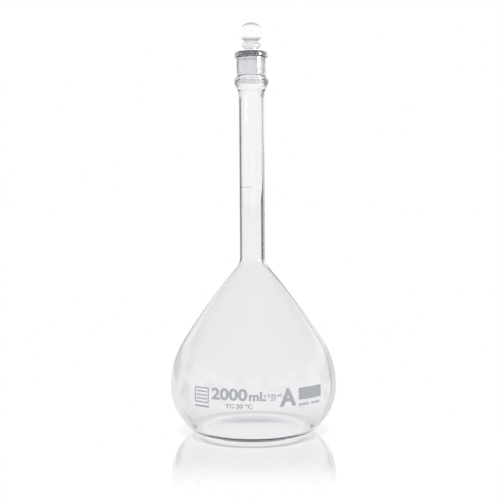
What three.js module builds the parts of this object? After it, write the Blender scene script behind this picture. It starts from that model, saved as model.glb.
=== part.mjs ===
// Volumetric flask for 2000 mL with a solid glass stopper.
// Millimetres, +Z up. The foot stands on Z = 0 and every turned piece shares the Z axis.
import * as THREE from 'three';

const facets = 40; // flat facets round every turned surface
const chordError = 0.06; // largest gap between an arc and its straight steps
const capacity = 2000e3; // cubic millimetres up to the graduation ring

// Bulb, as meridian arcs of the outer surface that meet tangentially.
const equator = { radius: 81.8, height: 44.7 };
const lowerArc = 52.2;
const upperArc = 85.3;
const upperSweep = 32; // degrees of the upper arc before the shoulder takes over
const shoulderArc = 580; // the shoulder is almost a straight cone
const filletArc = 16.3; // hollow blend from the shoulder into the neck
const wall = 1.55;

// Foot: the outer heel rolls under to a flat ring, and the underside rises to a shallow punt.
const heelArc = 16;
const footInnerRadius = 46;
const puntHeight = 2;
const floor = { height: 4, heelArc: 9, rise: 1 }; // inner floor, thicker than the wall

// Neck, and the trumpet that widens it below the socket.
const neck = { radius: 12.5, topRadius: 12.4, topHeight: 328 };
const trumpet = { radius: 16.8, height: 344.2, rollArc: 2.4 };
const groove = { radius: 14, height: 348.6 };

// Socket with a 1:10 ground bore and a beaded rim.
const socket = { radius: 14.5, bottomRadius: 14.35, bottomHeight: 350, topHeight: 365.5 };
const bead = { radius: 16.4, lowerArc: 1.7, upperArc: 2.1, topHeight: 371.5 };
const bore = { bottomRadius: 12.5, bottomHeight: 348.4, mouthArc: 0.8 };
const taper = 0.05; // change of radius with height for a 1:10 cone

// Stopper: ground plug, stem, collar disc and a ball that is a little flat on top.
const plugGap = 0.05;
const plug = { bottomHeight: 345.6, topHeight: 370.5, endArc: 3, shoulderArc: 1 };
const stem = { radius: 6.9, upperRadius: 6.2 };
const disc = { radius: 9.6, bottomHeight: 375.9, topHeight: 380.1, edgeArc: 1.2 };
const ball = { radius: 11.4, height: 389.1, topHeight: 400.2, bottomHeight: 382.5 };

// Fired enamel marks lie just off the glass.
const enamelGap = 0.05;
const enamelThickness = 0.15;
const ringWidth = 0.8;
const patch = { fromAzimuth: 31, toAzimuth: 50.5, bottomHeight: 43.5, topHeight: 54.5 };

const radians = THREE.MathUtils.degToRad;
const degrees = THREE.MathUtils.radToDeg;
const point = (radius, height) => new THREE.Vector2(radius, height);

/** Points along a meridian arc. Angles are degrees, from outward (0) towards up (90). */
function arc(centreRadius, centreHeight, arcRadius, from, to) {
  const step = degrees(2 * Math.acos(1 - chordError / arcRadius));
  const count = Math.max(2, Math.ceil(Math.abs(to - from) / step));
  return Array.from({ length: count + 1 }, (_, i) => {
    const angle = radians(from + ((to - from) * i) / count);
    return point(
      centreRadius + arcRadius * Math.cos(angle),
      centreHeight + arcRadius * Math.sin(angle),
    );
  });
}

/** Points along a cubic curve given as [radius, height] pairs. */
function curve(start, leave, arrive, end, count = 6) {
  const corners = [start, leave, arrive, end].map((pair) => point(...pair));
  return new THREE.CubicBezierCurve(...corners).getPoints(count);
}

/** Joins runs of points into one outline and drops the points they share. */
function outline(...runs) {
  const points = [];
  for (const next of runs.flat()) {
    if (points.length === 0 || next.distanceTo(points.at(-1)) > 1e-3) points.push(next);
  }
  return points;
}

/** Bulb from the foot up to the neck. inset moves it into the glass, parallel to the outside. */
function bulb(inset, footHeight, heel) {
  const lowerRadius = lowerArc - inset;
  const heelAngle = degrees(Math.asin(
    (equator.height - footHeight - heel) / (lowerRadius - heel),
  ));
  const heelCentre = equator.radius - lowerArc
    + (lowerRadius - heel) * Math.cos(radians(heelAngle));
  const upperCos = Math.cos(radians(upperSweep));
  const upperSin = Math.sin(radians(upperSweep));
  const shoulderCentre = {
    radius: equator.radius - upperArc + (upperArc - shoulderArc) * upperCos,
    height: equator.height + (upperArc - shoulderArc) * upperSin,
  };
  const filletCentreRadius = neck.radius + filletArc;
  const filletAngle = degrees(Math.acos(
    (filletCentreRadius - shoulderCentre.radius) / (shoulderArc + filletArc),
  ));
  const filletCentreHeight = shoulderCentre.height
    + (shoulderArc + filletArc) * Math.sin(radians(filletAngle));
  return outline(
    arc(heelCentre, footHeight + heel, heel, -90, -heelAngle),
    arc(equator.radius - lowerArc, equator.height, lowerRadius, -heelAngle, 0),
    arc(equator.radius - upperArc, equator.height, upperArc - inset, 0, upperSweep),
    arc(shoulderCentre.radius, shoulderCentre.height, shoulderArc - inset, upperSweep, filletAngle),
    arc(filletCentreRadius, filletCentreHeight, filletArc + inset, 180 + filletAngle, 180),
  );
}

/** Outer radius of the bulb near its equator. */
function bulbRadius(height) {
  const rise = height - equator.height;
  const arcRadius = rise < 0 ? lowerArc : upperArc;
  return equator.radius - arcRadius + Math.sqrt(arcRadius ** 2 - rise ** 2);
}

/** Radius of the ground bore. */
const boreRadius = (height) => bore.bottomRadius + taper * (height - bore.bottomHeight);

/** Outside of the glass above the bulb, from the neck up to the top of the bead. */
function outerNeck() {
  const rollCentre = trumpet.radius - trumpet.rollArc;
  return outline(
    curve(
      [neck.topRadius, neck.topHeight],
      [neck.topRadius, neck.topHeight + 8.5],
      [trumpet.radius, trumpet.height - 6],
      [trumpet.radius, trumpet.height],
      10,
    ),
    arc(rollCentre, trumpet.height, trumpet.rollArc, 0, 75),
    [point(groove.radius, groove.height), point(socket.bottomRadius, socket.bottomHeight)],
    [point(socket.radius, socket.topHeight)],
    arc(bead.radius - bead.lowerArc, socket.topHeight + bead.lowerArc, bead.lowerArc, -80, 0),
    arc(bead.radius - bead.upperArc, bead.topHeight - bead.upperArc, bead.upperArc, 0, 90),
  );
}

/** Inside of the glass above the bulb, from the mouth of the bore down to the neck. */
function innerNeck() {
  const mouthHeight = bead.topHeight - bore.mouthArc;
  const waist = point(bore.bottomRadius, bore.bottomHeight);
  return outline(
    arc(boreRadius(mouthHeight) + bore.mouthArc, mouthHeight, bore.mouthArc, 90, 180),
    [waist],
    curve(
      [waist.x, waist.y - 0.4],
      [trumpet.radius - 0.6, trumpet.height + 1.4],
      [trumpet.radius - 1.2, trumpet.height - 5.8],
      [neck.topRadius - wall + 0.9, neck.topHeight + 5.5],
      10,
    ),
    [point(neck.topRadius - wall, neck.topHeight - 1)],
  );
}

/** Height at which the inside, an outline from the floor upwards, holds the given volume. */
function fillHeight(inside, volume) {
  let held = 0;
  for (let i = 1; i < inside.length; i += 1) {
    const [low, high] = [inside[i - 1], inside[i]];
    const meanSquare = (low.x ** 2 + low.x * high.x + high.x ** 2) / 3;
    const slice = Math.PI * meanSquare * (high.y - low.y);
    if (held + slice >= volume) return low.y + ((high.y - low.y) * (volume - held)) / slice;
    held += slice;
  }
  throw new Error('the flask is too small for its capacity');
}

/** Turns a meridian outline round the Z axis. */
function turned(name, points, material) {
  const geometry = new THREE.LatheGeometry(points, facets).rotateX(Math.PI / 2);
  const mesh = new THREE.Mesh(geometry, material);
  mesh.name = name;
  return mesh;
}

/** A thin skin over the bulb between two azimuths, measured from the front towards +X. */
function bulbPatch(name, material) {
  const columns = 10;
  const rows = 6;
  const positions = [];
  const indices = [];
  const sheets = [enamelGap, enamelGap + enamelThickness];
  for (const offset of sheets) {
    for (let row = 0; row <= rows; row += 1) {
      const height = THREE.MathUtils.lerp(patch.bottomHeight, patch.topHeight, row / rows);
      const radius = bulbRadius(height) + offset;
      for (let column = 0; column <= columns; column += 1) {
        const azimuth = radians(
          THREE.MathUtils.lerp(patch.fromAzimuth, patch.toAzimuth, column / columns),
        );
        positions.push(radius * Math.sin(azimuth), -radius * Math.cos(azimuth), height);
      }
    }
  }
  const index = (sheet, row, column) => (sheet * (rows + 1) + row) * (columns + 1) + column;
  const quad = (a, b, c, d) => indices.push(a, b, c, a, c, d);
  for (let row = 0; row < rows; row += 1) {
    for (let column = 0; column < columns; column += 1) {
      const corners = (sheet) => [
        index(sheet, row, column), index(sheet, row, column + 1),
        index(sheet, row + 1, column + 1), index(sheet, row + 1, column),
      ];
      quad(...corners(1));
      quad(...corners(0).reverse());
    }
  }
  const rim = [
    ...Array.from({ length: columns }, (_, i) => [0, i]),
    ...Array.from({ length: rows }, (_, i) => [i, columns]),
    ...Array.from({ length: columns }, (_, i) => [rows, columns - i]),
    ...Array.from({ length: rows }, (_, i) => [rows - i, 0]),
  ];
  rim.forEach((from, i) => {
    const to = rim[(i + 1) % rim.length];
    quad(index(0, ...from), index(0, ...to), index(1, ...to), index(1, ...from));
  });
  const geometry = new THREE.BufferGeometry();
  geometry.setAttribute('position', new THREE.Float32BufferAttribute(positions, 3));
  geometry.setIndex(indices);
  geometry.computeVertexNormals();
  const mesh = new THREE.Mesh(geometry, material);
  mesh.name = name;
  return mesh;
}

const clearGlass = new THREE.MeshStandardMaterial({
  name: 'clear_glass', color: 0xeef2f1, roughness: 0.04, transparent: true, opacity: 0.35,
});
const stopperGlass = new THREE.MeshStandardMaterial({
  name: 'stopper_glass', color: 0xe9eceb, roughness: 0.2, transparent: true, opacity: 0.45,
});
const enamel = new THREE.MeshStandardMaterial({ name: 'enamel', color: 0xa9adad, roughness: 0.6 });

const inside = bulb(wall, floor.height, floor.heelArc);
const floorCentre = point(0, floor.height + floor.rise);
const insideFloor = curve(
  [0, floorCentre.y],
  [inside[0].x * 0.5, floorCentre.y],
  [inside[0].x * 0.7, floor.height],
  [inside[0].x, floor.height],
);
const outside = bulb(0, 0, heelArc);
const underside = curve(
  [0, puntHeight],
  [footInnerRadius * 0.5, puntHeight],
  [footInnerRadius * 0.8, 0],
  [footInnerRadius, 0],
);
const innerUpwards = outline(insideFloor, inside, innerNeck().reverse());
const flaskBody = turned(
  'flask_body',
  outline(underside, outside, outerNeck(), innerUpwards.toReversed()),
  clearGlass,
);

const plugRadius = (height) => boreRadius(height) - plugGap;
const stopper = turned(
  'stopper',
  outline(
    [point(0, plug.bottomHeight)],
    arc(
      plugRadius(plug.bottomHeight + plug.endArc) - plug.endArc,
      plug.bottomHeight + plug.endArc, plug.endArc, -90, 0,
    ),
    arc(
      plugRadius(plug.topHeight) - plug.shoulderArc,
      plug.topHeight - plug.shoulderArc, plug.shoulderArc, 0, 90,
    ),
    curve(
      [stem.radius + 3, plug.topHeight],
      [stem.radius + 1, plug.topHeight],
      [stem.radius, plug.topHeight + 1],
      [stem.radius, plug.topHeight + 3],
    ),
    [point(stem.radius, disc.bottomHeight - 0.6)],
    arc(disc.radius - disc.edgeArc, disc.bottomHeight + disc.edgeArc, disc.edgeArc, -60, 0),
    arc(disc.radius - disc.edgeArc, disc.topHeight - disc.edgeArc, disc.edgeArc, 0, 70),
    curve(
      [stem.upperRadius + 0.8, disc.topHeight + 0.5],
      [stem.upperRadius, disc.topHeight + 0.8],
      [stem.upperRadius, ball.bottomHeight - 0.8],
      [stem.upperRadius + 0.9, ball.bottomHeight],
      4,
    ),
    curve(
      [stem.upperRadius + 0.9, ball.bottomHeight],
      [stem.upperRadius + 3.2, ball.bottomHeight + 1.4],
      [ball.radius, ball.height - 3.4],
      [ball.radius, ball.height],
    ),
    curve(
      [ball.radius, ball.height],
      [ball.radius, ball.height + 6.4],
      [7, ball.topHeight],
      [0, ball.topHeight],
      8,
    ),
  ),
  stopperGlass,
);

const graduationHeight = fillHeight(innerUpwards, capacity);
const ringInner = neck.radius + enamelGap;
const graduationRing = turned(
  'graduation_ring',
  [
    point(ringInner, graduationHeight - ringWidth / 2),
    point(ringInner + enamelThickness, graduationHeight - ringWidth / 2),
    point(ringInner + enamelThickness, graduationHeight + ringWidth / 2),
    point(ringInner, graduationHeight + ringWidth / 2),
    point(ringInner, graduationHeight - ringWidth / 2),
  ],
  enamel,
);

const flask = new THREE.Group();
flask.name = 'volumetric_flask';
flask.add(flaskBody, graduationRing, bulbPatch('writing_patch', enamel), stopper);

export default flask;
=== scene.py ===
"""Looks for a 2000 mL volumetric flask: clear and ground glass, enamel marks, a bright studio."""

import math

import bmesh
import bpy
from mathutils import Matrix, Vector


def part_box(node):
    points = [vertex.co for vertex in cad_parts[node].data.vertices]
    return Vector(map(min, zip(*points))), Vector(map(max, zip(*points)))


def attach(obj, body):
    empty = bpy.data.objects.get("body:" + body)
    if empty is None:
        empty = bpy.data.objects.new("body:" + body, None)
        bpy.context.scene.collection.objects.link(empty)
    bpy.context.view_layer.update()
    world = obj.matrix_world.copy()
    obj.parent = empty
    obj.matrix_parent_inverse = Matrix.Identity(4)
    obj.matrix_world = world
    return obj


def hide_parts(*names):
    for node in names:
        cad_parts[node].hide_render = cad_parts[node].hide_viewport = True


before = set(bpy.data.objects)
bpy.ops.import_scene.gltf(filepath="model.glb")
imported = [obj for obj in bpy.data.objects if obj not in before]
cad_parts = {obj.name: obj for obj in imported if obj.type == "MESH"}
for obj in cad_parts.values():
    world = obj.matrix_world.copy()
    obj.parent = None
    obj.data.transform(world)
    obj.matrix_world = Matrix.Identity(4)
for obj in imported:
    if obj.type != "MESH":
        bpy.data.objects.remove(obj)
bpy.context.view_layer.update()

MM = 0.001
TURN_STEPS = 192  # steps round every turned surface
CHORD_ERROR = 0.004  # millimetres between an arc and its straight steps
STRAIGHT_STEPS = 16  # steps along a straight side, close enough together to keep its shading flat
SAME_POINT = 1e-4  # millimetres between points that count as one
ON_AXIS = 1e-6  # millimetres from the axis that count as on it
SHARP_ANGLE = 35  # degrees between faces that meet at a sharp edge

# The outlines below are in millimetres, as in the CAD: radius from the axis, and height. Sweeps are
# in degrees. Pulls place the two middle corners of a curve.
EQUATOR = (81.8, 44.7)
LOWER_ARC = 52.2
UPPER_ARC = 85.3
UPPER_SWEEP = 32
SHOULDER_ARC = 580
FILLET_ARC = 16.3
WALL = 1.55
HEEL_ARC = 16
FOOT_INNER_RADIUS = 46
PUNT_HEIGHT = 2
PUNT_PULLS = (0.5, 0.8)
FLOOR_HEIGHT = 4
FLOOR_HEEL_ARC = 9
FLOOR_RISE = 1
FLOOR_PULLS = (0.5, 0.7)
NECK_RADIUS = 12.5
NECK_TOP = (12.4, 328)
TRUMPET = (16.8, 344.2)
TRUMPET_PULLS = (8.5, 6)
TRUMPET_ROLL_ARC = 2.4
TRUMPET_ROLL_SWEEP = 75
GROOVE = (14, 348.6)
SOCKET_BOTTOM = (14.35, 350)
SOCKET_TOP = (14.5, 365.5)
BEAD_RADIUS = 16.4
BEAD_LOWER_ARC = 1.7
BEAD_LOWER_SWEEP = 80
BEAD_UPPER_ARC = 2.1
RIM_HEIGHT = 371.5
BORE_BOTTOM = (12.5, 348.4)
MOUTH_ARC = 0.8
TAPER = 0.05
INNER_TRUMPET = ((16.2, 345.6), (15.6, 338.4), (11.75, 333.5))
INNER_NECK_TOP = (NECK_TOP[0] - WALL, 327)
PLUG_GAP = 0.05
PLUG_BOTTOM = 345.6
PLUG_TOP = 370.5
PLUG_END_ARC = 3
PLUG_SHOULDER_ARC = 1
STEM_RADIUS = 6.9
STEM_SPREAD = 3
STEM_PULL = 1
DISC_RADIUS = 9.6
DISC_HEIGHTS = (375.9, 380.1)
DISC_FLARE = 0.6
DISC_EDGE_ARC = 1.2
DISC_EDGE_SWEEPS = (60, 70)
WAIST = ((7, 380.6), (6.2, 380.9), (6.2, 381.7), (7.1, 382.5))
BALL_UNDER = (WAIST[-1], (9.4, 383.9), (11.4, 385.7), (11.4, 389.1))
BALL_OVER = (BALL_UNDER[-1], (11.4, 395.5), (7, 400.2), (0, 400.2))

ENAMEL_LIFT = 0.02
ENAMEL_THICKNESS = 0.1
RING_WIDTH = 0.3
BEND_STEP = 2  # millimetres between the cuts that let flat enamel bend round the bulb
CAPITAL_SHARE = 0.73  # a capital's height as a share of the font's size

# Marks on the bulb, placed by azimuth in degrees and height in millimetres.
MAKER_FRAME_PLACE = (-36, 48)
LEGEND_BARS_PLACE = (40.7, 38.9)

# Each word's text, capital height, azimuth, height, added stroke weight, and stretch in width.
WORDS = {
    "capacity_number": ("2000", 10.6, -16, 49.8, 0.5, 1.19),
    "capacity_unit": ("mL", 8.2, 2.5, 48.5, 0.42, 1.13),
    "class_letter": ("A", 16, 23, 46, 0.8, 1),
    "temperature": ("TC 20 °C", 3.9, -9.5, 39.6, 0.2, 1.2),
    "tolerance": ("± 0.50 mL", 2.8, 12.8, 49.4, 0.14, 1.15),
    "size_number": ("27", 3.2, 12.8, 45.9, 0.16, 1.2),
}

GLASS_IOR = 1.473
GLASS_TINT = (0.6, 0.62, 0.67)
GREY = (0.41, 0.425, 0.46)
PALE_GREY = (0.5, 0.515, 0.55)
RING_GREY = (0.2, 0.2, 0.22)
RING_PALE_GREY = (0.28, 0.28, 0.3)
MOTTLE = (0.35, 0.65)  # noise values at the enamel's darkest and palest
GRAIN = (0.3, 0.7)  # noise values at the ground glass's smoothest and roughest
GROUND_ROUGHNESS = (0.12, 0.2)

# The table's mirror share at distances from the axis, in metres. It fades out in front.
POLISH = ((0.03, 0), (0.05, 0.15), (0.07, 0.35), (0.085, 0.75), (0.35, 0.9))
POLISH_FADE = (-0.21, -0.1)

# The ring of shade where the bulb overhangs the table, in metres from the axis.
CONTACT_SHADE = (0.046, 0.08)
CONTACT_EDGE = 0.012
CONTACT_DARKNESS = 0.13

# Dark flags in the bright surround. The far, near and side flags are in degrees on from each
# quarter turn, and leave the quarter turns clear. The upper flag goes all the way round. A rise is
# where a flag sets in, or the far flag gives out, as a sine of the angle above the horizon.
FAR_FLAG = (38, 74)
NEAR_FLAG = (8, 27)
FLAG_EDGE = 2
FLAG_DARKNESS = 0.98
NEAR_FLAG_RISE = (0.1, 0.13)
SIDE_FLAG_START = (44, 60)
SIDE_FLAG_END = (78, 90)
SIDE_FLAG_RISE = (0.08, 0.12)
SIDE_FLAG_DARKNESS = 0.32
UPPER_FLAG_RISE = (0.26, 0.36)
CEILING_RISE = (0.35, 0.6)
CEILING_BRIGHTNESS = 0.4

# How dark every direction is for light through the mirror image, and for light by the table.
IMAGE_DARKNESS = 0.13
TABLE_DARKNESS = 0.07

# Ray depths as the world counts them: 1 for what the camera sees directly, and 1 more for each
# surface met. Light through the solid ball has 3, and light through the hollow neck has 5.
SHADED_DEPTHS = (3, 6)  # light that sees the dark ceiling
FLAG_DEPTH = 4  # the first that also sees the flags, or 1 more if it comes by the table
IMAGE_DEPTH = 6  # light through the mirror image of the neck

BOUNCES = 32


def arc(centre_radius, centre_height, radius, start, end):
    """Points along a meridian arc. Angles are degrees, from outward (0) towards up (90)."""
    step = 2 * math.degrees(math.acos(1 - CHORD_ERROR / radius))
    count = max(2, math.ceil(abs(end - start) / step))
    angles = [math.radians(start + (end - start) * i / count) for i in range(count + 1)]
    return [
        (centre_radius + radius * math.cos(a), centre_height + radius * math.sin(a))
        for a in angles
    ]


def curve(start, leave, arrive, end, count=24):
    """Points along a cubic curve."""
    points = []
    for i in range(count + 1):
        t = i / count
        weights = ((1 - t) ** 3, 3 * t * (1 - t) ** 2, 3 * t * t * (1 - t), t ** 3)
        corners = (start, leave, arrive, end)
        points.append(tuple(sum(w * c[k] for w, c in zip(weights, corners)) for k in (0, 1)))
    return points


def straight(start, end):
    """Points along a straight line."""
    steps = [i / STRAIGHT_STEPS for i in range(STRAIGHT_STEPS + 1)]
    return [tuple(a + (b - a) * step for a, b in zip(start, end)) for step in steps]


def dish(middle_height, edge_radius, edge_height, pulls):
    """A shallow dish from the axis to its edge. pulls are shares of its radius."""
    leave, arrive = (edge_radius * pull for pull in pulls)
    return curve(
        (0, middle_height), (leave, middle_height),
        (arrive, edge_height), (edge_radius, edge_height),
    )


def bulb(inset, foot_height, heel):
    """Bulb from the foot up to the neck. inset moves it into the glass, parallel to the outside."""
    radius, height = EQUATOR
    lower = LOWER_ARC - inset
    heel_angle = math.asin((height - foot_height - heel) / (lower - heel))
    heel_centre = radius - LOWER_ARC + (lower - heel) * math.cos(heel_angle)
    sweep = math.radians(UPPER_SWEEP)
    shoulder_radius = radius - UPPER_ARC + (UPPER_ARC - SHOULDER_ARC) * math.cos(sweep)
    shoulder_height = height + (UPPER_ARC - SHOULDER_ARC) * math.sin(sweep)
    fillet_radius = NECK_RADIUS + FILLET_ARC
    fillet_angle = math.acos((fillet_radius - shoulder_radius) / (SHOULDER_ARC + FILLET_ARC))
    fillet_height = shoulder_height + (SHOULDER_ARC + FILLET_ARC) * math.sin(fillet_angle)
    heel_degrees = math.degrees(heel_angle)
    fillet_degrees = math.degrees(fillet_angle)
    return (
        arc(heel_centre, foot_height + heel, heel, -90, -heel_degrees)
        + arc(radius - LOWER_ARC, height, lower, -heel_degrees, 0)
        + arc(radius - UPPER_ARC, height, UPPER_ARC - inset, 0, UPPER_SWEEP)
        + arc(shoulder_radius, shoulder_height, SHOULDER_ARC - inset, UPPER_SWEEP, fillet_degrees)
        + arc(fillet_radius, fillet_height, FILLET_ARC + inset, 180 + fillet_degrees, 180)
    )


def bulb_radius(height):
    """Outer radius of the bulb near its equator."""
    radius, equator_height = EQUATOR
    rise = height - equator_height
    meridian = LOWER_ARC if rise < 0 else UPPER_ARC
    return radius - meridian + math.sqrt(meridian ** 2 - rise ** 2)


def bore_radius(height):
    """Radius of the ground bore."""
    return BORE_BOTTOM[0] + TAPER * (height - BORE_BOTTOM[1])


def outer_neck():
    """Outside of the glass from the neck up to the groove under the socket."""
    neck, neck_height = NECK_TOP
    radius, height = TRUMPET
    leave, arrive = TRUMPET_PULLS
    roll_centre = radius - TRUMPET_ROLL_ARC
    return (
        curve(NECK_TOP, (neck, neck_height + leave), (radius, height - arrive), TRUMPET, count=40)
        + arc(roll_centre, height, TRUMPET_ROLL_ARC, 0, TRUMPET_ROLL_SWEEP)
        + [GROOVE]
    )


def outer_socket():
    """Outside of the socket, and its bead."""
    lower_centre = (BEAD_RADIUS - BEAD_LOWER_ARC, SOCKET_TOP[1] + BEAD_LOWER_ARC)
    upper_centre = (BEAD_RADIUS - BEAD_UPPER_ARC, RIM_HEIGHT - BEAD_UPPER_ARC)
    return (
        straight(SOCKET_BOTTOM, SOCKET_TOP)
        + arc(*lower_centre, BEAD_LOWER_ARC, -BEAD_LOWER_SWEEP, 0)
        + arc(*upper_centre, BEAD_UPPER_ARC, 0, 90)
    )


def bore():
    """The ground inside of the socket, from the rim down."""
    mouth_height = RIM_HEIGHT - MOUTH_ARC
    mouth = arc(bore_radius(mouth_height) + MOUTH_ARC, mouth_height, MOUTH_ARC, 90, 180)
    return mouth + straight(mouth[-1], BORE_BOTTOM)


def inner_neck():
    """Inside of the glass from the bore down to the neck."""
    return curve(BORE_BOTTOM, *INNER_TRUMPET, count=40) + [INNER_NECK_TOP]


def flask_outline():
    """The flask's closed outline as runs of points, each with the index of its material."""
    clear, ground, pale = 0, 1, 2
    underside = dish(PUNT_HEIGHT, FOOT_INNER_RADIUS, 0, PUNT_PULLS)
    inside = bulb(WALL, FLOOR_HEIGHT, FLOOR_HEEL_ARC)
    floor = dish(FLOOR_HEIGHT + FLOOR_RISE, inside[0][0], FLOOR_HEIGHT, FLOOR_PULLS)
    return [
        (underside + bulb(0, 0, HEEL_ARC) + outer_neck(), clear),
        (outer_socket(), pale),
        (bore(), ground),
        (inner_neck() + inside[::-1], clear),
        (floor[::-1], pale),
    ]


def stem():
    """Side of the stopper's stem, which spreads where it meets the plug."""
    return curve(
        (STEM_RADIUS + STEM_SPREAD, PLUG_TOP), (STEM_RADIUS + STEM_PULL, PLUG_TOP),
        (STEM_RADIUS, PLUG_TOP + STEM_PULL), (STEM_RADIUS, PLUG_TOP + STEM_SPREAD),
    ) + [(STEM_RADIUS, DISC_HEIGHTS[0] - DISC_FLARE)]


def disc():
    """Rounded edge of the stopper's collar disc."""
    low, high = DISC_HEIGHTS
    inner = DISC_RADIUS - DISC_EDGE_ARC
    lower_sweep, upper_sweep = DISC_EDGE_SWEEPS
    return (
        arc(inner, low + DISC_EDGE_ARC, DISC_EDGE_ARC, -lower_sweep, 0)
        + arc(inner, high - DISC_EDGE_ARC, DISC_EDGE_ARC, 0, upper_sweep)
    )


def ball():
    """The waist above the disc, and the ball."""
    return curve(*WAIST, count=12) + curve(*BALL_UNDER, count=32) + curve(*BALL_OVER, count=40)


def stopper_outline():
    """The stopper's outline from the plug's end up, as runs of points with their materials."""
    clear, ground = 0, 1
    end_height = PLUG_BOTTOM + PLUG_END_ARC
    end_radius = bore_radius(end_height) - PLUG_GAP
    shoulder_height = PLUG_TOP - PLUG_SHOULDER_ARC
    shoulder_centre = bore_radius(PLUG_TOP) - PLUG_GAP - PLUG_SHOULDER_ARC
    plug_end = arc(end_radius - PLUG_END_ARC, end_height, PLUG_END_ARC, -90, 0)
    shoulder = arc(shoulder_centre, shoulder_height, PLUG_SHOULDER_ARC, 0, 90)
    return [
        ([(0, PLUG_BOTTOM)] + plug_end, clear),
        (straight((end_radius, end_height), shoulder[0]), ground),
        (shoulder + stem() + disc() + ball(), clear),
    ]


def joined(runs):
    """The points of all the runs, and the material's index for each step between them."""
    points = []
    indices = []
    for run, material in runs:
        for point in run:
            if points and math.dist(points[-1], point) < SAME_POINT:
                continue
            if points:
                indices.append(material)
            points.append(point)
    is_loop = points[0][0] > ON_AXIS
    if is_loop:
        indices.append(runs[-1][1])
    return points, indices


def turned(name, runs, materials):
    """A solid turned round Z from runs of outline points, each run with its material's index."""
    points, indices = joined(runs)
    mesh = bmesh.new()
    rings = []
    for radius, height in points:
        ring = []
        for i in range(TURN_STEPS if radius > ON_AXIS else 1):
            angle = 2 * math.pi * i / TURN_STEPS
            place = (radius * math.sin(angle) * MM, -radius * math.cos(angle) * MM, height * MM)
            ring.append(mesh.verts.new(place))
        rings.append(ring)
    for k, material in enumerate(indices):
        lower, upper = rings[k], rings[(k + 1) % len(rings)]
        for i in range(TURN_STEPS):
            j = (i + 1) % TURN_STEPS
            corners = [lower[i % len(lower)], lower[j % len(lower)]]
            corners += [upper[j % len(upper)], upper[i % len(upper)]]
            face = mesh.faces.new(list(dict.fromkeys(corners)))
            face.smooth = True
            face.material_index = material
    return finished(name, mesh, materials)


def finished(name, mesh, materials):
    """Turns a bmesh into a shown object."""
    data = bpy.data.meshes.new(name)
    mesh.to_mesh(data)
    mesh.free()
    data.set_sharp_from_angle(angle=math.radians(SHARP_ANGLE))
    for material in materials:
        data.materials.append(material)
    piece = bpy.data.objects.new(name, data)
    bpy.context.scene.collection.objects.link(piece)
    return piece


def feed(tree, value, socket):
    """Gives a node's input a number, or another node's output."""
    if isinstance(value, (int, float)):
        socket.default_value = value
    else:
        tree.links.new(value, socket)


def maths(tree, operation, *values):
    """The result of a Math node."""
    node = tree.nodes.new("ShaderNodeMath")
    node.operation = operation
    for socket, value in zip(node.inputs, values):
        feed(tree, value, socket)
    return node.outputs["Value"]


def product(tree, *values):
    """The values multiplied together by Math nodes."""
    result = values[0]
    for value in values[1:]:
        result = maths(tree, "MULTIPLY", result, value)
    return result


def rest(tree, value):
    """What is left of 1 after the value."""
    return maths(tree, "SUBTRACT", 1, value)


def ramp(tree, value, start, end, low, high):
    """A smooth step from low to high as the value goes from start to end."""
    node = tree.nodes.new("ShaderNodeMapRange")
    node.interpolation_type = "SMOOTHSTEP"
    feed(tree, value, node.inputs["Value"])
    feed(tree, start, node.inputs["From Min"])
    feed(tree, end, node.inputs["From Max"])
    feed(tree, low, node.inputs["To Min"])
    feed(tree, high, node.inputs["To Max"])
    return node.outputs["Result"]


def band(tree, value, start, end, edge):
    """1 between start and end and 0 outside, with soft edges."""
    rise = ramp(tree, value, start, start + edge, 0, 1)
    fall = ramp(tree, value, end - edge, end, 1, 0)
    return product(tree, rise, fall)


def noise(tree, scale, stretch=(1, 1, 1), detail=2):
    """Noise fixed to the object, with scale in patches per metre."""
    place = tree.nodes.new("ShaderNodeTexCoord")
    mapping = tree.nodes.new("ShaderNodeMapping")
    mapping.inputs["Scale"].default_value = stretch
    tree.links.new(place.outputs["Object"], mapping.inputs["Vector"])
    node = tree.nodes.new("ShaderNodeTexNoise")
    node.inputs["Scale"].default_value = scale
    node.inputs["Detail"].default_value = detail
    tree.links.new(mapping.outputs["Vector"], node.inputs["Vector"])
    return node.outputs["Fac"]


def bump(tree, surface, height, strength, distance):
    """Gives a surface relief. distance is its depth in metres."""
    node = tree.nodes.new("ShaderNodeBump")
    node.inputs["Strength"].default_value = strength
    node.inputs["Distance"].default_value = distance
    tree.links.new(height, node.inputs["Height"])
    tree.links.new(node.outputs["Normal"], surface.inputs["Normal"])


def shader(name):
    """A new material and its Principled shader."""
    material = bpy.data.materials.new(name)
    material.use_nodes = True
    return material, material.node_tree.nodes["Principled BSDF"]


def glass(name, absorption):
    """Clear glass with the faint upright streaks of drawn tube.

    absorption is per metre of glass. It is stronger than real glass has, for a greyer tone.
    """
    material, surface = shader(name)
    tree = material.node_tree
    surface.inputs["Base Color"].default_value = (1, 1, 1, 1)
    surface.inputs["Roughness"].default_value = 0
    surface.inputs["IOR"].default_value = GLASS_IOR
    surface.inputs["Transmission Weight"].default_value = 1
    streaks = noise(tree, scale=260, stretch=(1, 1, 0.03))
    bump(tree, surface, streaks, strength=0.006, distance=0.0004)
    body = tree.nodes.new("ShaderNodeVolumeAbsorption")
    body.inputs["Color"].default_value = (*GLASS_TINT, 1)
    body.inputs["Density"].default_value = absorption
    tree.links.new(body.outputs["Volume"], tree.nodes["Material Output"].inputs["Volume"])
    return material


def ground_glass(name, absorption):
    """Glass ground to a fine white grain."""
    material = glass(name, absorption)
    tree = material.node_tree
    surface = tree.nodes["Principled BSDF"]
    grain = noise(tree, scale=2500, detail=4)
    tree.links.new(ramp(tree, grain, *GRAIN, *GROUND_ROUGHNESS), surface.inputs["Roughness"])
    surface.inputs["Transmission Weight"].default_value = 0.98
    bump(tree, surface, grain, strength=0.15, distance=0.00005)
    return material


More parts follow.
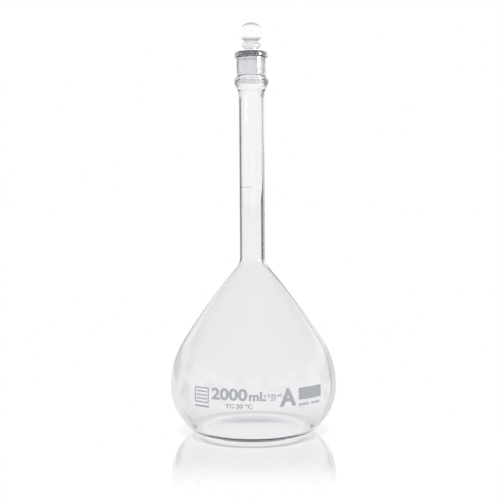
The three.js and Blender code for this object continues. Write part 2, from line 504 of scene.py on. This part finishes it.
def enamel(name, dark, pale):
    """Matt fired enamel, slightly uneven."""
    material, surface = shader(name)
    tree = material.node_tree
    mix = tree.nodes.new("ShaderNodeMix")
    mix.data_type = "RGBA"
    mix.inputs["A"].default_value = (*dark, 1)
    mix.inputs["B"].default_value = (*pale, 1)
    mottle = ramp(tree, noise(tree, scale=700, detail=6), *MOTTLE, 0, 1)
    tree.links.new(mottle, mix.inputs["Factor"])
    tree.links.new(mix.outputs["Result"], surface.inputs["Base Color"])
    surface.inputs["Roughness"].default_value = 0.55
    bump(tree, surface, noise(tree, scale=4000), strength=0.2, distance=0.00003)
    return material


def sliced(mesh):
    """Cuts a flat mesh into small squares, so that it can bend."""
    for axis in (Vector((1, 0, 0)), Vector((0, 1, 0))):
        reach = [v.co.dot(axis) for v in mesh.verts]
        cut = math.floor(min(reach) / BEND_STEP) * BEND_STEP
        while cut < max(reach):
            cut += BEND_STEP
            everything = mesh.verts[:] + mesh.edges[:] + mesh.faces[:]
            bmesh.ops.bisect_plane(mesh, geom=everything, plane_co=axis * cut, plane_no=axis)


def doubled(mesh):
    """Adds a reversed layer to a flat mesh, joined to it at the edges, and returns its vertices."""
    layer = bmesh.ops.duplicate(mesh, geom=mesh.verts[:] + mesh.edges[:] + mesh.faces[:])
    pairs = layer["vert_map"]
    lower_verts = {v for v in layer["geom"] if isinstance(v, bmesh.types.BMVert)}
    lower_faces = [f for f in layer["geom"] if isinstance(f, bmesh.types.BMFace)]
    bmesh.ops.reverse_faces(mesh, faces=lower_faces)
    open_edges = [e for e in mesh.edges if e.is_boundary and e.verts[0] not in lower_verts]
    for edge in open_edges:
        loop = edge.link_loops[0]
        first, second = loop.vert, loop.link_loop_next.vert
        mesh.faces.new((second, first, pairs[first], pairs[second]))
    return lower_verts


def wrap(mesh, azimuth, height):
    """Bends a flat mesh, drawn in millimetres about its own origin, round the bulb as enamel."""
    sliced(mesh)
    lower_verts = doubled(mesh)
    for vert in mesh.verts:
        across, up, _ = vert.co
        rise = height + up
        thickness = 0 if vert in lower_verts else ENAMEL_THICKNESS
        radius = bulb_radius(rise) + ENAMEL_LIFT + thickness
        angle = math.radians(azimuth) + across / bulb_radius(height)
        vert.co = Vector((radius * math.sin(angle), -radius * math.cos(angle), rise)) * MM
    return mesh


def lettering(name, words, size, azimuth, height, weight, stretch):
    """Enamel words centred on a place on the bulb. size is the height of a capital."""
    text = bpy.data.curves.new(name, "FONT")
    text.body = words
    text.size = size / CAPITAL_SHARE
    text.offset = weight
    text.align_x = "CENTER"
    text.align_y = "CENTER"
    drawn = bpy.data.objects.new(name + "_drawn", text)
    bpy.context.scene.collection.objects.link(drawn)
    evaluated = drawn.evaluated_get(bpy.context.evaluated_depsgraph_get())
    flat = bpy.data.meshes.new_from_object(evaluated)
    bpy.data.objects.remove(drawn)
    bpy.data.curves.remove(text)
    mesh = bmesh.new()
    mesh.from_mesh(flat)
    bpy.data.meshes.remove(flat)
    bmesh.ops.scale(mesh, vec=(stretch, 1, 1), verts=mesh.verts[:])
    bmesh.ops.remove_doubles(mesh, verts=mesh.verts[:], dist=SAME_POINT)
    return finished(name, wrap(mesh, azimuth, height), [MARK_ENAMEL])


def rectangles(name, boxes, azimuth, height):
    """Enamel rectangles on the bulb: each is its left, bottom, right and top, in millimetres."""
    mesh = bmesh.new()
    for left, bottom, right, top in boxes:
        corners = ((left, bottom), (right, bottom), (right, top), (left, top))
        mesh.faces.new([mesh.verts.new((x, y, 0)) for x, y in corners])
    return finished(name, wrap(mesh, azimuth, height), [MARK_ENAMEL])


def framed_bars():
    """A plain frame round three bars, with a bar under it."""
    width, tall, line = 16.5, 14.5, 1.3
    margin, pitch, bar = 2.3, 3.4, 1.4
    base_gap, base_bar = 2.4, 1.8
    side, half = width / 2, tall / 2
    boxes = [
        (-side, half - line, side, half),
        (-side, -half, side, line - half),
        (-side, line - half, line - side, half - line),
        (side - line, line - half, side, half - line),
    ]
    inner = side - margin
    for middle in (-pitch, 0, pitch):
        boxes.append((-inner, middle - bar / 2, inner, middle + bar / 2))
    boxes.append((-side, -half - base_gap - base_bar, side, -half - base_gap))
    return rectangles("maker_frame", boxes, *MAKER_FRAME_PLACE)


def legend_bars():
    """A row of short bars in two groups, under the writing patch."""
    left, bar, pitch, gap = -13.5, 2.1, 3, 2.5
    half_height = 1.2
    group = 4
    boxes = []
    for i in range(2 * group):
        start = left + pitch * i + (gap if i >= group else 0)
        boxes.append((start, -half_height, start + bar, half_height))
    return rectangles("legend_bars", boxes, *LEGEND_BARS_PLACE)


def writing_patch():
    """The patch for writing on, where its CAD solid is."""
    low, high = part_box("writing_patch")
    height = (low[2] + high[2]) / 2 / MM
    half_height = (high[2] - low[2]) / 2 / MM
    near_edge = math.degrees(math.atan2(low[0], -low[1]))
    far_edge = math.degrees(math.atan2(high[0], -high[1]))
    half_width = math.radians(far_edge - near_edge) / 2 * bulb_radius(height)
    box = (-half_width, -half_height, half_width, half_height)
    return rectangles("patch_enamel", [box], (near_edge + far_edge) / 2, height)


def graduation_ring():
    """A fine line round the neck, at the height of its CAD solid."""
    low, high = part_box("graduation_ring")
    height = (low[2] + high[2]) / 2 / MM
    inner = NECK_RADIUS + ENAMEL_LIFT
    outer = inner + ENAMEL_THICKNESS
    bottom, top = height - RING_WIDTH / 2, height + RING_WIDTH / 2
    outline = [(inner, bottom), (outer, bottom), (outer, top), (inner, top)]
    return turned("ring_enamel", [(outline, 0)], [RING_ENAMEL])


FLASK_CLEAR = glass("flask_clear", absorption=70)
FLASK_GROUND = ground_glass("flask_ground", absorption=5)
SOCKET_CLEAR = glass("socket_clear", absorption=22)  # the socket's outside and the inner floor
STOPPER_CLEAR = glass("stopper_clear", absorption=3)
STOPPER_GROUND = ground_glass("stopper_ground", absorption=3)
MARK_ENAMEL = enamel("grey_enamel", GREY, PALE_GREY)
RING_ENAMEL = enamel("ring_enamel", RING_GREY, RING_PALE_GREY)


def add_pieces():
    """Every piece of the object, on its CAD body."""
    flask = turned("flask_glass", flask_outline(), [FLASK_CLEAR, FLASK_GROUND, SOCKET_CLEAR])
    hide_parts("flask_body")
    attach(flask, "flask")

    stopper = turned("stopper_glass", stopper_outline(), [STOPPER_CLEAR, STOPPER_GROUND])
    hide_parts("stopper")
    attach(stopper, "stopper")

    ring = graduation_ring()
    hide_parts("graduation_ring")
    patch = writing_patch()
    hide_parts("writing_patch")
    marks = [ring, patch, framed_bars(), legend_bars()]
    marks += [lettering(name, *words) for name, words in WORDS.items()]
    for mark in marks:
        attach(mark, "flask")


def aim(thing, place, target, roll=0):
    """Puts a camera or lamp at a place, looking at a target."""
    thing.location = place
    look = (Vector(target) - Vector(place)).to_track_quat("-Z", "Y")
    thing.rotation_euler = look.to_euler()
    thing.rotation_euler.rotate_axis("Z", math.radians(roll))


def add_camera():
    """The camera, where the photographer stood."""
    data = bpy.data.cameras.new("camera")
    data.lens = 70.8
    data.sensor_width = 36
    camera = bpy.data.objects.new("camera", data)
    bpy.context.scene.collection.objects.link(camera)
    aim(camera, place=(0, -0.9678, 0.2292), target=(-0.0024, 0, 0.1783), roll=-0.38)
    bpy.context.scene.camera = camera


def mirror_share(tree, place, reach):
    """How much of the table is mirror, by the distance from the axis and the fade in front."""
    polish = tree.nodes.new("ShaderNodeValToRGB")
    tree.links.new(reach, polish.inputs["Fac"])
    stops = polish.color_ramp.elements
    stops[0].color = (0, 0, 0, 1)
    for distance, share in POLISH:
        stop = stops.new(distance)
        stop.color = (share, share, share, 1)
    split = tree.nodes.new("ShaderNodeSeparateXYZ")
    tree.links.new(place, split.inputs["Vector"])
    fade = ramp(tree, split.outputs["Y"], *POLISH_FADE, 0, 1)
    return product(tree, polish.outputs["Color"], fade)


def table_material():
    """A bright white table with a polished patch that mirrors the flask."""
    material = bpy.data.materials.new("table")
    material.use_nodes = True
    tree = material.node_tree
    tree.nodes.clear()
    place = tree.nodes.new("ShaderNodeTexCoord").outputs["Object"]
    length = tree.nodes.new("ShaderNodeVectorMath")
    length.operation = "LENGTH"
    tree.links.new(place, length.inputs[0])
    reach = length.outputs["Value"]

    bright = tree.nodes.new("ShaderNodeEmission")
    shade = product(tree, band(tree, reach, *CONTACT_SHADE, CONTACT_EDGE), CONTACT_DARKNESS)
    tree.links.new(rest(tree, shade), bright.inputs["Strength"])
    mirror = tree.nodes.new("ShaderNodeBsdfGlossy")
    mirror.inputs["Color"].default_value = (1, 1, 1, 1)
    mirror.inputs["Roughness"].default_value = 0.04
    both = tree.nodes.new("ShaderNodeMixShader")
    tree.links.new(mirror_share(tree, place, reach), both.inputs["Fac"])
    tree.links.new(bright.outputs["Emission"], both.inputs[1])
    tree.links.new(mirror.outputs["BSDF"], both.inputs[2])
    output = tree.nodes.new("ShaderNodeOutputMaterial")
    tree.links.new(both.outputs["Shader"], output.inputs["Surface"])
    return material


def add_floor():
    """The table that the flask stands on."""
    mesh = bmesh.new()
    bmesh.ops.create_grid(mesh, x_segments=1, y_segments=1, size=8)
    finished("table", mesh, [table_material()])


def flag_darkness(tree, direction, path):
    """How dark the flags are in a direction, for light that has passed through a wall."""
    azimuth = maths(tree, "ARCTAN2", direction.outputs["X"], direction.outputs["Y"])
    quarters = maths(tree, "FRACT", maths(tree, "DIVIDE", azimuth, math.pi / 2))
    degrees = product(tree, quarters, 90)
    height = direction.outputs["Z"]
    depth = path.outputs["Ray Depth"]
    direct = path.outputs["Is Transmission Ray"]
    by_table = rest(tree, direct)
    raised = ramp(tree, height, *SIDE_FLAG_RISE, 0, 1)
    in_image = maths(tree, "GREATER_THAN", depth, IMAGE_DEPTH - 0.5)

    far = product(tree, band(tree, degrees, *FAR_FLAG, FLAG_EDGE), rest(tree, raised))
    near_reach = maths(tree, "MAXIMUM", ramp(tree, height, *NEAR_FLAG_RISE, 0, 1), by_table)
    near = product(tree, band(tree, degrees, *NEAR_FLAG, FLAG_EDGE), near_reach)
    side_start = ramp(tree, degrees, *SIDE_FLAG_START, 0, SIDE_FLAG_DARKNESS)
    side = product(tree, side_start, ramp(tree, degrees, *SIDE_FLAG_END, 1, 0), raised)
    upper = product(tree, direct, ramp(tree, height, *UPPER_FLAG_RISE, 0, 1), rest(tree, in_image))
    image = product(tree, direct, in_image, IMAGE_DARKNESS)
    dark = far
    for flag in (near, side, upper, image, product(tree, by_table, TABLE_DARKNESS)):
        dark = maths(tree, "MAXIMUM", dark, flag)

    deep_enough = maths(tree, "GREATER_THAN", maths(tree, "ADD", depth, direct), FLAG_DEPTH + 0.5)
    return product(tree, dark, deep_enough)


def plain_white(tree, path):
    """1 for light that has met too few or too many surfaces to see the ceiling and the flags."""
    low, high = SHADED_DEPTHS
    from_middle = maths(tree, "SUBTRACT", path.outputs["Ray Depth"], (low + high) / 2)
    return maths(tree, "GREATER_THAN", maths(tree, "ABSOLUTE", from_middle), (high - low + 1) / 2)


def softbox(name, place, target, width, height, radiance, spread):
    """A rectangular lamp that looks at a target. radiance is what the camera would see."""
    data = bpy.data.lights.new(name, "AREA")
    data.shape = "RECTANGLE"
    data.size = width
    data.size_y = height
    data.spread = math.radians(spread)
    data.energy = radiance * math.pi * width * height
    lamp = bpy.data.objects.new(name, data)
    bpy.context.scene.collection.objects.link(lamp)
    aim(lamp, place, target)


def add_surround():
    """A white surround with a darker ceiling and dark flags."""
    world = bpy.data.worlds.new("studio")
    bpy.context.scene.world = world
    world.use_nodes = True
    tree = world.node_tree
    place = tree.nodes.new("ShaderNodeTexCoord")
    direction = tree.nodes.new("ShaderNodeSeparateXYZ")
    tree.links.new(place.outputs["Generated"], direction.inputs["Vector"])
    path = tree.nodes.new("ShaderNodeLightPath")
    ceiling = ramp(tree, direction.outputs["Z"], *CEILING_RISE, 1, CEILING_BRIGHTNESS)
    flags = rest(tree, product(tree, flag_darkness(tree, direction, path), FLAG_DARKNESS))
    seen = maths(tree, "MAXIMUM", product(tree, ceiling, flags), plain_white(tree, path))
    tree.links.new(seen, tree.nodes["Background"].inputs["Color"])


def add_lights():
    """The surround, and a softbox on the socket."""
    add_surround()
    softbox(
        "strip_right", place=(1.26, -0.67, 0.55), target=(0, 0, 0.36),
        width=0.5, height=0.15, radiance=12, spread=18,
    )


def set_look():
    """Gives light enough bounces to pass every wall of both glasses, and keeps white plain."""
    scene = bpy.context.scene
    scene.view_settings.view_transform = "Standard"
    scene.cycles.max_bounces = BOUNCES
    scene.cycles.transmission_bounces = BOUNCES
    scene.cycles.glossy_bounces = BOUNCES
    scene.cycles.diffuse_bounces = 8
    scene.cycles.blur_glossy = 0


add_pieces()
add_camera()
add_floor()
add_lights()
set_look()
